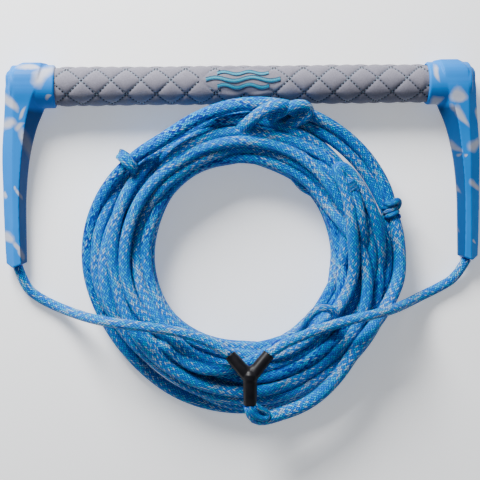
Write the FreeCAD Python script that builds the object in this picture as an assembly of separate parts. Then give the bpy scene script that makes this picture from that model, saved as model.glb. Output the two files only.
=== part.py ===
import FreeCAD, Part
import math
import os

# Tow rope handle with its coiled rope. Lengths are in millimetres.
# +X runs along the grip, +Y points from the arms' rope ends to the grip, and +Z is up.
# The origin is at the bottom centre of the handle itself, without its ropes. Everything lies
# on the plane z = 0: the handle on its collars and arms, the coil between the arms.

# Handle
HANDLE_WIDTH = 381.0        # over both arms, 15 inches
ARM_REACH = 142.8           # bar axis to the arm's lowest corner
ELBOW_RISE = 18.2           # bar axis to the elbow's top edge
COLLAR_R = 17.0
BAR_Y = (ARM_REACH - ELBOW_RISE) / 2
BAR_Z = COLLAR_R            # the collars rest on the ground

# Grip bar, which turns inside the collars
TUBE_R = 12.7               # one inch tube
TUBE_WALL = 1.6
FOAM_R = 13.7
GRIP_R = 14.8
BAR_HALF = 163.0            # half the length of tube, foam and cover
BUSH_FLANGE = 2.6
BUSH_BARREL = 14.0
BUSH_HOLE_R = 4.9
SEAM_WIDTH = 3.2
SEAM_HEIGHT = 0.7
SEAM_HALF = 143.0
EMBLEM_HEIGHT = 0.35
EMBLEM_TILT = 10.0          # degrees from the top of the grip towards +Y
# Bands of the emblem: distance from its middle line, half length, wave height, width
EMBLEM_BANDS = [(5.2, 20.0, 1.1, 2.4), (0.0, 29.0, 1.4, 3.0), (-5.2, 20.0, 1.1, 2.4)]
WAVE_STEPS = 24

# Arms
COLLAR_END = 147.5          # the collars' inner rims, from the middle of the handle
COLLAR_OUTER = 182.0
RIM_ROUND = 1.4
BORE_R = 15.1
BORE_END_GAP = 0.6
PASSAGE_R = 4.9
ROPE_COLUMN_X = 180.9       # the rope's run down each arm
BEND_R = 14.0               # the rope's turn from the tube into the arm
LOW_CORNER_Y = BAR_Y - ARM_REACH
END_CUT = [(-24.2, 9.6), (0.0, 0.0), (5.2, 3.6), (11.8, 12.0)]   # slanted end, from LOW_CORNER
LOW_CORNER_X = 184.2

# Ropes
BRIDLE_D = 7.8
LINE_D = 9.0
EXIT = (ROPE_COLUMN_X, LOW_CORNER_Y + 1.4, 8.6)   # where the rope leaves the arm

# Yoke
YOKE_X = 0.6
YOKE_CENTRE = (YOKE_X, -167.3, 49.4)
YOKE_MOUTH = (15.1, -149.6, 47.0)   # half spread, then Y and Z
YOKE_STEM_END = (YOKE_X, -188.4, 47.2)
BRANCH_R = 4.8
STEM_R = 5.1
YOKE_HOLE_R = 3.8
STEM_HOLE_R = 4.2

# Coil: a ring of rope turns
COIL_CENTRE = (-1.0, -77.2)
COIL_MEAN_R = 96.5
COIL_HALF_WIDTH = 27.0
COIL_HALF_HEIGHT = 21.5

# Sections down an arm: distance below the bar axis, then how far the outer edge, the outer
# ridge, the inner ridge and the inner edge lie inside the handle's outer face, and half the
# thickness. The arm's underside stays on the ground below the bar axis.
ARM_STATIONS = [
    (-18.2, 15.5, 18.5, 32.5, 36.5, 8.0),
    (-12.0, 7.2, 13.5, 32.0, 38.5, 14.5),
    (0.0, 5.0, 12.0, 29.5, 38.5, 17.0),
    (16.0, 3.6, 11.0, 23.5, 34.0, 15.6),
    (30.0, 2.2, 10.4, 19.7, 27.9, 14.2),
    (50.0, 0.3, 9.0, 16.5, 22.2, 12.6),
    (82.0, 0.0, 8.2, 13.2, 17.9, 10.8),
    (114.0, 0.2, 7.8, 12.5, 17.1, 9.5),
    (149.0, 1.3, 8.0, 13.5, 17.1, 8.4),
]
OUTER_BEVEL = 6.0
THINNEST_RIM = 2.6
INNER_EDGE = 1.5
SOLE_CUT = 0.3              # how much of each arm's underside is taken off to lie flat

# Routes of the free ropes, as X, Y, Z points. The bridle legs run from the arms' ends to the
# yoke's mouths, over the coil; the lead runs from the yoke's stem into the coil.
LEG_LEFT = [
    (-EXIT[0], EXIT[1], EXIT[2]),
    (-176, -95.5, 6.2),
    (-165, -105, 4.4),
    (-150, -112.6, 5.6),
    (-134.5, -117.6, 18),
    (-119, -120.8, 38),
    (-101, -123.3, 50.5),
    (-78, -126.8, 50),
    (-57, -130, 49),
    (-40, -135, 48.6),
    (-25.8, -141.3, 48),
    (YOKE_X - YOKE_MOUTH[0], YOKE_MOUTH[1], YOKE_MOUTH[2]),
]
LEG_RIGHT = [
    EXIT,
    (173, -94, 6.2),
    (159.5, -102, 4.4),
    (143.5, -109, 6.5),
    (129, -114, 20),
    (114, -117.5, 39.5),
    (97, -120.5, 50.5),
    (75, -125, 50),
    (55, -131, 49),
    (38.5, -137, 48.6),
    (26, -142.6, 48),
    (YOKE_X + YOKE_MOUTH[0], YOKE_MOUTH[1], YOKE_MOUTH[2]),
]
LEAD = [
    YOKE_STEM_END,
    (1.8, -196.6, 45),
    (8.5, -201, 41.5),
    (21, -198.5, 38.5),
    (42.5, -192.5, 38),
    (58.5, -182, 39.5),
    (72, -167.5, 41),
    (82, -152.5, 37),
]

# Knots on the coil: X, Y, Z of the middle, then half length, half width, half height, and the
# turn of the long axis about Z in degrees.
KNOTS = {
    "loop_knot_top": (28.5, 43.0, 37.0, 19.0, 6.5, 7.0, -8.0),
    "loop_knot_left": (-88.5, 5.0, 35.0, 13.0, 9.0, 6.5, 40.0),
    "loop_knot_right": (117.0, -36.0, 27.0, 9.5, 8.0, 7.5, -75.0),
    "yoke_hitch": (8.5, -199.5, 41.5, 10.0, 6.8, 6.5, -12.0),
}

# Eye at the boat's end of the line, on the coil's inner shoulder
EYE_CENTRE = (58.5, -116.5, 40.0)
EYE_TURN = 42.0
EYE_HALF_LENGTH = 8.0
EYE_HALF_WIDTH = 5.0
EYE_ROPE_R = 3.9


def vec(point):
    return FreeCAD.Vector(*point)


def save(name, shape):
    solids = shape.Solids
    print(f"{name}: {len(solids)} solid, {shape.Volume:.0f} mm3, valid {shape.isValid()}")
    (solids[0] if len(solids) == 1 else shape).exportStep(f"parts/{name}.step")


def along_bar(radius, start, end):
    """A cylinder about the bar axis between two X positions."""
    base = FreeCAD.Vector(start, BAR_Y, BAR_Z)
    return Part.makeCylinder(radius, end - start, base, FreeCAD.Vector(1, 0, 0))


def sleeve(outer, inner, half):
    return along_bar(outer, -half, half).cut(along_bar(inner, -half, half))


def route_wire(points, radii=None):
    """Straight runs joined by tangent arcs. Returns the wire and the arc radii."""
    pts = [vec(p) for p in points]
    edges = []
    used = []
    start = pts[0]
    for i in range(1, len(pts) - 1):
        before = pts[i - 1] - pts[i]
        after = pts[i + 1] - pts[i]
        shorter = min(before.Length, after.Length)
        half_turn = (math.pi - before.getAngle(after)) / 2
        before.normalize()
        after.normalize()
        radius = radii[i - 1] if radii else 0.45 * shorter / math.tan(half_turn)
        cut = radius * math.tan(half_turn)
        first = pts[i] + before * cut
        last = pts[i] + after * cut
        inward = (before + after).normalize()
        middle = pts[i] + inward * (radius / math.cos(half_turn) - radius)
        edges.append(Part.LineSegment(start, first).toShape())
        edges.append(Part.Arc(first, middle, last).toShape())
        start = last
        used.append(radius)
    edges.append(Part.LineSegment(start, pts[-1]).toShape())
    return Part.Wire(edges), used


def tube(name, points, radius, radii=None):
    """A round tube along a route. Prints its arc radii and its volume over section x length."""
    wire, used = route_wire(points, radii)
    direction = vec(points[1]) - vec(points[0])
    profile = Part.Wire(Part.makeCircle(radius, vec(points[0]), direction))
    shape = wire.makePipeShell([profile], True, False)
    ratio = shape.Volume / (math.pi * radius**2 * wire.Length)
    radii_text = " ".join(f"{r:.0f}" for r in used)
    print(f"{name}: length {wire.Length:.1f}, radii {radii_text}, volume ratio {ratio:.3f}")
    return shape


def held_route(end_drop):
    """The bridle's way through one arm, the bar and the other arm."""
    ends = [(side * EXIT[0], EXIT[1] - end_drop, EXIT[2]) for side in (-1, 1)]
    corners = [(side * ROPE_COLUMN_X, BAR_Y, BAR_Z) for side in (-1, 1)]
    return [ends[0], corners[0], corners[1], ends[1]]


def arm_section(below, outer, outer_ridge, inner_ridge, inner, half):
    """One eight-sided section of the right arm, in a plane across the arm."""
    face = HANDLE_WIDTH / 2
    centre = BAR_Z if below < 0 else half - SOLE_CUT
    rim = max(half - OUTER_BEVEL, THINNEST_RIM)
    upper = [(face - outer, rim), (face - outer_ridge, half), (face - inner_ridge, half),
             (face - inner, INNER_EDGE)]
    lower = [(x, -z) for x, z in reversed(upper)]
    points = [FreeCAD.Vector(x, BAR_Y - below, centre + z) for x, z in upper + lower]
    return Part.makePolygon(points + [points[0]])


def arm_end_cutter():
    """What is cut away below the arm's slanted end face."""
    depth = 20
    slope = [(LOW_CORNER_X + x, LOW_CORNER_Y + y) for x, y in END_CUT]
    below = [(slope[-1][0], LOW_CORNER_Y - depth), (slope[0][0], LOW_CORNER_Y - depth)]
    points = [FreeCAD.Vector(x, y, -1) for x, y in slope + below]
    face = Part.Face(Part.makePolygon(points + [points[0]]))
    return face.extrude(FreeCAD.Vector(0, 0, 2 * COLLAR_R))


def right_arm():
    """Moulded arm: a collar over the grip's end and a faceted horn down to the rope exit."""
    horn = Part.makeLoft([arm_section(*station) for station in ARM_STATIONS], True, True)
    horn = horn.cut(arm_end_cutter())
    under = Part.makeBox(HANDLE_WIDTH, 2 * ARM_REACH, COLLAR_R)
    under.translate(FreeCAD.Vector(0, -ARM_REACH, -COLLAR_R))
    horn = horn.cut(under)
    collar = along_bar(COLLAR_R, COLLAR_END, COLLAR_OUTER)
    rim = min(collar.Edges, key=lambda e: abs(e.BoundBox.XMax - COLLAR_END))
    collar = collar.makeFillet(RIM_ROUND, [rim])
    body = horn.fuse(collar)
    bore_end = BAR_HALF + BUSH_FLANGE + BORE_END_GAP
    body = body.cut(along_bar(BORE_R, COLLAR_END - 1, bore_end))
    passage = tube("arm rope passage", held_route(12), PASSAGE_R, [BEND_R, BEND_R])
    return body.cut(passage)


def mirrored(shape):
    return shape.mirror(FreeCAD.Vector(0, 0, 0), FreeCAD.Vector(1, 0, 0))


def end_bush():
    """Nylon bush in the right end of the tube, which keeps the rope off the tube's edge."""
    inside = TUBE_R - TUBE_WALL
    barrel = along_bar(inside, BAR_HALF - BUSH_BARREL, BAR_HALF)
    flange = along_bar(TUBE_R, BAR_HALF, BAR_HALF + BUSH_FLANGE)
    hole = along_bar(BUSH_HOLE_R, BAR_HALF - BUSH_BARREL, BAR_HALF + BUSH_FLANGE)
    return barrel.fuse(flange).cut(hole)


def grip_seam():
    """The cover's sewn seam, a low flat ridge along the underside of the grip."""
    ridge = sleeve(GRIP_R + SEAM_HEIGHT, GRIP_R, SEAM_HALF)
    corner = FreeCAD.Vector(-SEAM_HALF, BAR_Y - SEAM_WIDTH / 2, BAR_Z - 2 * GRIP_R)
    return ridge.common(Part.makeBox(2 * SEAM_HALF, SEAM_WIDTH, 2 * GRIP_R, corner))


def wave_band(offset, half_length, height, width):
    """One wavy band of the emblem, drawn flat above the grip and pressed onto its surface."""
    wave = [(half_length * (2 * i / WAVE_STEPS - 1), height * math.sin(4 * math.pi * i / WAVE_STEPS))
            for i in range(WAVE_STEPS + 1)]
    upper = [FreeCAD.Vector(x, BAR_Y + offset + y + width / 2, BAR_Z) for x, y in wave]
    lower = [FreeCAD.Vector(x, BAR_Y + offset + y - width / 2, BAR_Z) for x, y in wave]
    curves = []
    for line in (upper, lower):
        spline = Part.BSplineCurve()
        spline.interpolate(line)
        curves.append(spline.toShape())
    ends = [Part.makeLine(upper[0], lower[0]), Part.makeLine(upper[-1], lower[-1])]
    outline = Part.Wire([curves[0], ends[1], curves[1], ends[0]])
    block = Part.Face(outline).extrude(FreeCAD.Vector(0, 0, GRIP_R + 2))
    skin = sleeve(GRIP_R + EMBLEM_HEIGHT, GRIP_R, half_length + 1)
    return skin.common(block)


def grip_emblem():
    """Embroidered wave pattern on the grip: three bands, the middle one longest."""
    emblem = Part.makeCompound([wave_band(*band) for band in EMBLEM_BANDS])
    emblem.rotate(vec((0, BAR_Y, BAR_Z)), FreeCAD.Vector(1, 0, 0), -EMBLEM_TILT)
    return emblem


def yoke_arms(branch_r, stem_r, stretch):
    """The yoke's two branches and stem as round rods from its centre, each stretched a little."""
    centre = vec(YOKE_CENTRE)
    mouths = [vec((YOKE_X + side * YOKE_MOUTH[0], YOKE_MOUTH[1], YOKE_MOUTH[2])) for side in (-1, 1)]
    body = Part.makeSphere(stem_r, centre)
    for end, radius in ((mouths[0], branch_r), (mouths[1], branch_r), (vec(YOKE_STEM_END), stem_r)):
        axis = end - centre
        body = body.fuse(Part.makeCylinder(radius, axis.Length + stretch, centre, axis))
    return body


def yoke():
    """Moulded rubber Y with a hole down each leg of it."""
    return yoke_arms(BRANCH_R, STEM_R, 0).cut(yoke_arms(YOKE_HOLE_R, STEM_HOLE_R, 1))


def yoke_splice():
    """The rope junction inside the yoke, where the bridle is spliced to the line."""
    return yoke_arms(YOKE_HOLE_R, STEM_HOLE_R, 0)


def coil():
    """Outer shape of the coiled line: a ring with an oval section."""
    middle = FreeCAD.Vector(COIL_CENTRE[0] + COIL_MEAN_R, COIL_CENTRE[1], COIL_HALF_HEIGHT)
    side = middle + FreeCAD.Vector(COIL_HALF_WIDTH, 0, 0)
    top = middle + FreeCAD.Vector(0, 0, COIL_HALF_HEIGHT)
    section = Part.Face(Part.Wire(Part.Ellipse(side, top, middle).toShape()))
    pivot = FreeCAD.Vector(COIL_CENTRE[0], COIL_CENTRE[1], 0)
    return section.revolve(pivot, FreeCAD.Vector(0, 0, 1), 360)


def knot(x, y, z, length, width, height, turn):
    """Outer shape of a knot: an oval body with its long axis level."""
    stretch = FreeCAD.Matrix()
    stretch.scale(length, width, height)
    body = Part.makeSphere(1).transformGeometry(stretch)
    body.rotate(FreeCAD.Vector(0, 0, 0), FreeCAD.Vector(0, 0, 1), turn)
    body.translate(FreeCAD.Vector(x, y, z))
    return body


def tow_eye():
    """Spliced eye for the boat's tow hook: one closed loop of rope."""
    half, width = EYE_HALF_LENGTH, EYE_HALF_WIDTH
    corners = [FreeCAD.Vector(x, y, 0) for x, y in
               ((-half, -width), (half, -width), (half, width), (-half, width))]
    right = Part.Arc(corners[1], FreeCAD.Vector(half + width, 0, 0), corners[2])
    left = Part.Arc(corners[3], FreeCAD.Vector(-half - width, 0, 0), corners[0])
    path = Part.Wire([Part.makeLine(corners[0], corners[1]), right.toShape(),
                      Part.makeLine(corners[2], corners[3]), left.toShape()])
    profile = Part.Wire(Part.makeCircle(EYE_ROPE_R, corners[0], FreeCAD.Vector(1, 0, 0)))
    eye = path.makePipeShell([profile], True, False)
    eye.rotate(FreeCAD.Vector(0, 0, 0), FreeCAD.Vector(0, 0, 1), EYE_TURN)
    eye.translate(vec(EYE_CENTRE))
    return eye


def main():
    os.makedirs("parts", exist_ok=True)
    save("bar_tube", sleeve(TUBE_R, TUBE_R - TUBE_WALL, BAR_HALF))
    save("grip_foam", sleeve(FOAM_R, TUBE_R, BAR_HALF))
    save("grip_cover", sleeve(GRIP_R, FOAM_R, BAR_HALF))
    save("grip_seam", grip_seam())
    save("grip_emblem", grip_emblem())
    for name, shape in (("tube_bush", end_bush()), ("arm", right_arm())):
        save(f"{name}_right", shape)
        save(f"{name}_left", mirrored(shape))
    save("bridle_core", tube("bridle_core", held_route(0), BRIDLE_D / 2, [BEND_R, BEND_R]))
    save("bridle_leg_left", tube("bridle_leg_left", LEG_LEFT, BRIDLE_D / 2))
    save("bridle_leg_right", tube("bridle_leg_right", LEG_RIGHT, BRIDLE_D / 2))
    save("yoke", yoke())
    save("yoke_splice", yoke_splice())
    save("line_lead", tube("line_lead", LEAD, LINE_D / 2))
    ring = coil()
    save("line_coil", ring)
    for name, place in KNOTS.items():
        save(name, knot(*place).cut(ring))
    save("tow_eye", tow_eye().cut(ring))


main()
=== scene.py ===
import math

import bmesh
import bpy
import numpy as np
from mathutils import Matrix, Vector


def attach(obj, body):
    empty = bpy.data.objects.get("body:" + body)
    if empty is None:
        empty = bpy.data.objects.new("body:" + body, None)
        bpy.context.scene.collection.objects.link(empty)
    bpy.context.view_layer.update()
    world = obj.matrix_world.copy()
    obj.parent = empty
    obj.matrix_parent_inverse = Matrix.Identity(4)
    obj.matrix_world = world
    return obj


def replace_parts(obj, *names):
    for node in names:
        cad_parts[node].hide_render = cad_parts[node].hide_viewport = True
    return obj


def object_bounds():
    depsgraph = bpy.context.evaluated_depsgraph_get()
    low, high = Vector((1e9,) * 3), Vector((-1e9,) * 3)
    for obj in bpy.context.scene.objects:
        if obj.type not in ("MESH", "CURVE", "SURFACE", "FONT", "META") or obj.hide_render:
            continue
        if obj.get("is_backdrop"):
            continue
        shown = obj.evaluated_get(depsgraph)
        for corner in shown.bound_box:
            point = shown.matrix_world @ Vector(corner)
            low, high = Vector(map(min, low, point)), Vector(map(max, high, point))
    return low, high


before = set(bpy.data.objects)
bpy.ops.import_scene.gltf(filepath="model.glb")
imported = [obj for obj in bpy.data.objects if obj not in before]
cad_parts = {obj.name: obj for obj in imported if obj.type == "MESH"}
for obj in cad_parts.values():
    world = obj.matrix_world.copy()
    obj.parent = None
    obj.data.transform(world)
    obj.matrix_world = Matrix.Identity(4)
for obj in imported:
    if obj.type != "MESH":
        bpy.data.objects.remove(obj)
cad_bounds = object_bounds()

# Tow rope handle with its coiled rope: looks built over the CAD part. Lengths are in metres, and
# tables are written in millimetres where they go through metres().
# +X runs along the grip, +Y points from the arms' rope ends to the grip, and +Z is up.


def metres(rows, first=0):
    """A table written in millimetres, in metres. Columns before the first one stay as they are."""
    return [(*row[:first], *(round(value / 1000, 7) for value in row[first:])) for row in rows]


# The CAD part's own sizes
BAR_Y = 0.0623
BAR_Z = 0.017
GRIP_R = 0.0148
BAR_HALF = 0.163
COLLAR_END = 0.1475
LINE_D = 0.009

# Routes of the free ropes, as in the CAD part. The lead lies a little lower, on the coil.
LEG_LEFT = metres([
    (-180.9, -79.1, 8.6), (-176, -95.5, 6.2), (-165, -105, 4.4),
    (-150, -112.6, 5.6), (-134.5, -117.6, 18), (-119, -120.8, 38),
    (-101, -123.3, 50.5), (-78, -126.8, 50), (-57, -130, 49),
    (-40, -135, 48.6), (-25.8, -141.3, 48), (-14.5, -149.6, 47),
])
LEG_RIGHT = metres([
    (180.9, -79.1, 8.6), (173, -94, 6.2), (159.5, -102, 4.4),
    (143.5, -109, 6.5), (129, -114, 20), (114, -117.5, 39.5),
    (97, -120.5, 50.5), (75, -125, 50), (55, -131, 49),
    (38.5, -137, 48.6), (26, -142.6, 48), (15.7, -149.6, 47),
])
LEAD = metres([
    (0.6, -188.4, 47.2), (1.8, -196.6, 45), (8.5, -201, 41.5),
    (21, -198.5, 38.5), (42.5, -192.5, 34.5), (58.5, -182, 34),
    (72, -167.5, 35.5), (82, -152.5, 36),
])

# Coil of the line
COIL_CENTRE = (-0.001, -0.0772)
TURNS = 25
STATIONS = 72  # places per turn where the turns' sections are settled
POINTS_PER_TURN = 24  # control points kept per turn
POINTS_IN_LEAD = 2  # of them, left out where the lead comes down on the coil
COIL_TOP = 0.0435
COIL_SEED = 11
# The bundle without its loose outer turn: angle in degrees, inner and outer radius
BUNDLE_EDGE = metres([
    (0, 71, 123.5), (15, 71.5, 117), (30, 73, 109.5), (42, 75.5, 110.5), (60, 75, 116.5),
    (75, 75.8, 119.5), (90, 76.5, 120.5), (120, 78, 114.5), (135, 77, 115), (150, 73.5, 122.5),
    (180, 71, 123.5), (200, 70, 119), (215, 69.5, 113), (240, 67, 111.5), (262, 65, 120),
    (285, 65, 123.5), (300, 67.5, 119), (330, 67, 121),
], 1)
# The line's first turns as they lie outside the bundle: angle in degrees, radius, height
LOOSE_TURN = metres([
    (-42.2, 112, 36.5), (-25, 119.5, 31), (-5, 125.5, 22), (8, 124, 19),
    (19, 125.5, 18.5), (35, 128.5, 21), (55, 126.8, 27.5), (76, 124.5, 35.5),
    (95, 120.5, 40), (112, 115, 44), (126, 112, 45.5), (138, 118, 37),
    (155, 123, 26), (180, 124, 18), (205, 119, 11), (225, 118, 5.5),
    (245, 119.5, 5.5), (270, 119, 8), (285, 119.5, 9.5), (300, 116.5, 11),
    (320, 117.5, 12.5), (340, 119, 14), (365, 120, 14.5), (379, 120.5, 15),
    (395, 120, 18), (415, 118, 25), (436, 116, 32),
], 1)
LINE_END = (-55.8, 0.0740, 0.0380)  # the same three for the line's far end

# How the coil settles, in rounds: every strand sinks, leans towards the radius it would like, is
# straightened a little, and is pushed out of its neighbours
WISH_TURNS = 0.9  # turns after which a strand would like to lie elsewhere in the bundle
WISH_STEP = 0.381966  # how far on, as a share of the bundle: the golden section spreads them evenly
WISH_SPREAD = 0.12
SETTLE_ROUNDS = 300
PUSHES_PER_ROUND = 3
LAID_LOW = 0.005  # height of the last turn before they sink
LAID_RISE = 0.20  # how much higher the first one starts
SINK = 0.0014
LATE_SINK = 0.0002
SINK_SHARE = 0.6  # of the rounds, before the sinking slows down
OPEN_SHARE = 0.45  # of the rounds, before the bundle's top is closed
LEAN = 0.03
STRAIGHTEN = 0.35
END_LEAN = 0.12  # how strongly the line's end is drawn to its own place
CLOSING_ANGLE = 200  # degrees over which the last turn comes to that place
STRAND_GAP = 0.0081  # closest that two strands' centres lie
PUSH = 0.42
MOST_PUSH = 0.003
UNEVEN_TOP = 0.0035  # how much lower the bundle's top is in places
TOP_ROUNDING = 0.012  # how much lower it is at its edges
SOLE_ROUNDING = 0.004
LOWEST = LINE_D * 0.42

# Arms, as in the CAD part: distance below the bar axis, then how far the outer edge, the outer
# ridge, the inner ridge and the inner edge lie inside the handle's outer face, and half the thickness
OUTER_FACE = 0.1905
ARM_STATIONS = metres([
    (-18.2, 15.5, 18.5, 32.5, 36.5, 8), (-12, 7.2, 13.5, 32, 38.5, 14.5),
    (0, 5, 12, 29.5, 38.5, 17), (16, 3.6, 11, 23.5, 34, 15.6),
    (30, 2.2, 10.4, 19.7, 27.9, 14.2), (50, 0.3, 9, 16.5, 22.2, 12.6),
    (82, 0, 8.2, 13.2, 17.9, 10.8), (114, 0.2, 7.8, 12.5, 17.1, 9.5),
    (149, 1.3, 8, 13.5, 17.1, 8.4),
])
HEAD_END = 0.016  # distance below the bar axis where the thick head passes into the horn
OUTER_BEVEL = 0.006
LEAST_RIM = 0.0026
INNER_RIM = 0.0015
SOLE_CUT = 0.0003
COLLAR_R = 0.017
COLLAR_OUTER = 0.182
COLLAR_ROUNDING = 0.0014
BORE_R = 0.0151
BORE_END = 0.1662
ROPE_HOLE_R = 0.0043
ARM_VOXEL = 0.00065
END_CUT = metres([(160, -70.9), (184.2, -80.5), (189.4, -76.9), (196, -68.5)])

# Pale patches moulded into each arm: X, Y, half length and half width in millimetres, and the turn
# in degrees
PATCHES = {
    "arm_left": [
        (-167.5, 76, 7.5, 2.2, -8), (-154.8, 69.3, 8.5, 4.5, 38), (-152, 52.6, 2.2, 1.2, 30),
        (-182.2, 49, 7.5, 3, -55), (-184, 32.8, 5.8, 4, -12), (-175.1, 30.3, 3.5, 2, 30),
        (-172.6, 40, 4.5, 1.1, 60), (-180.3, -17.5, 1.3, 0.8, 80), (-177.5, -22.2, 3.6, 1, -65),
        (-189, -22.6, 2.6, 1.6, 80), (-186.8, -55.9, 4.8, 3.4, -60), (-179.8, -64, 4, 1.4, -62),
        (-170.5, 16, 11, 2.8, -80), (-176.8, -70, 3.6, 1.4, -80), (-172.2, 21, 5.5, 1, 82),
    ],
    "arm_right": [
        (153.4, 68.2, 5.6, 1.9, -80), (154.5, 47.9, 4, 2.6, 5), (171.2, 51, 6, 4.2, -40),
        (173.8, 34.5, 7.5, 2.2, -58), (169, 40, 4.5, 1.6, -40), (188, 35.1, 5, 1.4, -80),
        (185.3, 12.6, 5.2, 3.6, 20), (173.1, 4.4, 1.2, 1, 0), (177.9, 3.7, 1.2, 1, 0),
        (186.8, -20.5, 5.8, 2, -45), (170, 11.5, 5.2, 1.8, -52), (172.2, -21, 4.5, 1.2, -65),
        (173.2, -54.7, 2.8, 0.8, -75), (185.5, -65.4, 1.8, 0.8, -60),
    ],
}

# Quilting of the grip: rows of crossing stitch lines
QUILT_LENGTH = 0.0233  # of a diamond, along the grip
QUILT_TURN = 90.0  # of a diamond, in degrees round the grip
QUILT_START = 0.0133  # X of one crossing
QUILT_ROW = 11.0  # degrees from the top towards +Y of that crossing
PUFF_TOP = 0.0158
PUFF_LOW = 0.0139
PUFF_TOP_IN_COLLAR = 0.01495
PLAIN_PUFF = 0.5  # how full the cover is under the emblem, as a share of a diamond's puff
COVER_INSIDE = 0.0138
COVER_GRID = (520, 150)  # points along and round the cover
STITCH_PITCH = 0.0031
STITCH_LINES = 12  # either way from the first one, more than the cover holds
STITCHED_TURN = 172  # degrees either way from the top, up to the seam
# Threads: length, thickness, and how far their middle lies above the cover
STITCH = (0.0019, 0.0008, 0.00012)
# dark marks painted as the shade in the needle holes
NEEDLE_HOLE_SHADE = (0.0020, 0.0019, 0.00003)
SATIN = (0.0026, 0.0006, 0.00045)
EDGING = (0.0011, 0.0006, 0.00050)

# Emblem: its plain field as X and degrees from the top, and its wave bands as distance from the
# middle line, half length, wave height and width in millimetres
EMBLEM_MIDDLE = (0.0, 10.0)
EMBLEM_REACH = (0.0350, 46.0)
EMBLEM_BANDS = metres([(5.2, 20, 1.1, 2.4), (0, 29, 1.4, 3.0), (-5.2, 20, 1.1, 2.4)])
WAVES = 2
SATIN_PITCH = 0.0005

# The tow line: its real length, and where splices double it, as distances along it from the yoke
LINE_SIZE = (0.0094, 0.0084)  # width and thickness as it lies
BRIDLE_SIZE = (0.0079, 0.0077)
LINE_SIDES = 12
LINE_STEP = 0.004
BRIDLE_STEP = 0.003
KNOT_STEP = 0.0015
ROPE_SIDES = 14
DOUBLED_PARTS = [(-0.03, 0.27), (0.345, 0.50)]
DOUBLING = 0.14
DOUBLING_TAPER = 0.02
KNOT_SQUEEZE = 0.28  # how much thinner the line is inside the right knot
KNOT_SQUEEZE_REACH = 0.010

# Top knot: the line's bight passes up over the bundle, and a second bight lies behind it
TOP_BIGHT = metres([
    (-11, 17, 20), (-7, 21, 28.5), (-2, 25.8, 35), (6, 32.5, 42.5),
    (15, 38.5, 47.5), (24, 42.5, 48.5), (32, 42.5, 45.5), (37.5, 40, 40),
    (41, 38, 34.5), (45, 38.5, 30.5),
])
TOP_LOOP = metres([
    (20, 33, 37), (27, 37.5, 42), (36, 41.5, 45), (44, 43, 44.5),
    (50, 41, 40.5), (50, 35.5, 38), (44, 32.5, 36.5), (37, 29, 32.5),
    (31, 26.8, 28),
])
# Left knot: a flat fold across the line
LEFT_FOLD = metres([
    (-88.5, 1.5, 31.8), (-93.5, 5, 31.8), (-96.6, 6.8, 36), (-96.2, 6.2, 41),
    (-93.2, 3.2, 43.4), (-89.7, -0.8, 43.4), (-86.2, -4.8, 41.2), (-84.8, -5.8, 36),
    (-86.3, -3.5, 31.8), (-89, 0.5, 31.5),
])
# Right knot: wraps round the line, and a vee of rope that comes out of them
RIGHT_KNOT = (0.1175, -0.0400, 0.0185)
RIGHT_KNOT_HEADING = -73
RIGHT_VEE = metres([
    (116, -37.2, 18.5), (112.5, -35.2, 21.5), (113.2, -34, 25), (116.5, -34.5, 26.2),
    (120, -32.2, 25.8), (123.2, -31.5, 23.5), (124, -34.8, 20.5), (121.5, -38.5, 19),
    (118, -40, 18.5),
])
# Hitch: a narrow bight that points away from the yoke's stem
HITCH_BIGHT = metres([
    (0.3, -188, 50), (1, -193.5, 51), (5.5, -198, 49), (12, -200, 46),
    (15.5, -197.5, 44), (12, -193.5, 46), (7.5, -191, 48), (3.5, -187, 48.5),
])
TOW_EYE = metres([
    (39.3, -137.1, 25.2), (42.5, -133.5, 30), (45, -128.5, 37.5), (47.2, -122.5, 43.5),
    (51, -117.8, 46), (56, -115.1, 46.5), (61.2, -115, 46.2), (65.7, -116.8, 45),
    (68.2, -120.8, 43), (67, -126.2, 40), (62, -132, 36), (55, -135.2, 31),
    (47, -136.8, 27.2), (39.8, -137.6, 25),
])
# Where two sections of the line join: angle in degrees, radius and height round the coil
SECTION_LOOP = metres([
    (-38, 80.2, 30.5), (-30, 81.8, 32.2), (-21, 85, 33.8), (-12, 86, 34.5), (-2, 85.8, 37.5),
    (8, 85.2, 41.2), (22, 89.5, 44), (34, 95, 44.5), (41, 98, 44.5), (45, 101.5, 44),
    (42, 106, 43), (34, 106.8, 42.5), (22, 107.5, 40.5), (10, 108.5, 34.5), (-2, 108.5, 25),
    (-12, 108, 18),
], 1)
SECTION_TAIL = metres([
    (40, 101, 40), (36, 102, 43.2), (31, 100, 44), (25, 97.8, 43.5), (18, 95.5, 42),
    (10, 95, 36.5), (2, 95, 27),
], 1)
INNER_LOOP = metres([
    (64, 81.5, 16), (57, 78.5, 15.5), (50, 75.8, 15), (43, 78.5, 15.5), (36, 81.5, 16),
], 1)
SECTION_WHIPPING = (0.0828, -0.0212, 0.0437)
SECTION_HEADING = -66

YOKE_CENTRE = (0.0006, -0.1673, 0.0494)
YOKE_BRANCH_R = 0.0048
YOKE_STEM_R = 0.0051
YOKE_THICKENING = 1.12  # of its branches and stem where they meet
YOKE_VOXEL = 0.0004
# Hub of the yoke: distance from its middle along Y, and radius
YOKE_HUB = metres([(-7.0, 1.0), (-5.0, 4.6), (-2.0, 6.0), (1.5, 6.2), (4.5, 4.6), (6.0, 1.0)])

# Colours
ROPE_BLUE = (0.0, 0.29, 0.90)
# dark blue of some yarns, also painted as shade between yarns and in the core's weave
ROPE_DARK_BLUE_AND_SHADE = (0.0, 0.04, 0.34)
ROPE_CYAN = (0.0, 0.62, 1.0)
ROPE_SILVER = (0.50, 0.80, 0.92)
ARM_PALE = (0.48, 0.49, 0.56)
# dark blue painted as shade on the arms' inward faces
ARM_INNER_SHADE = (0.0, 0.012, 0.06)


# --- the coil's lie ---

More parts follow.
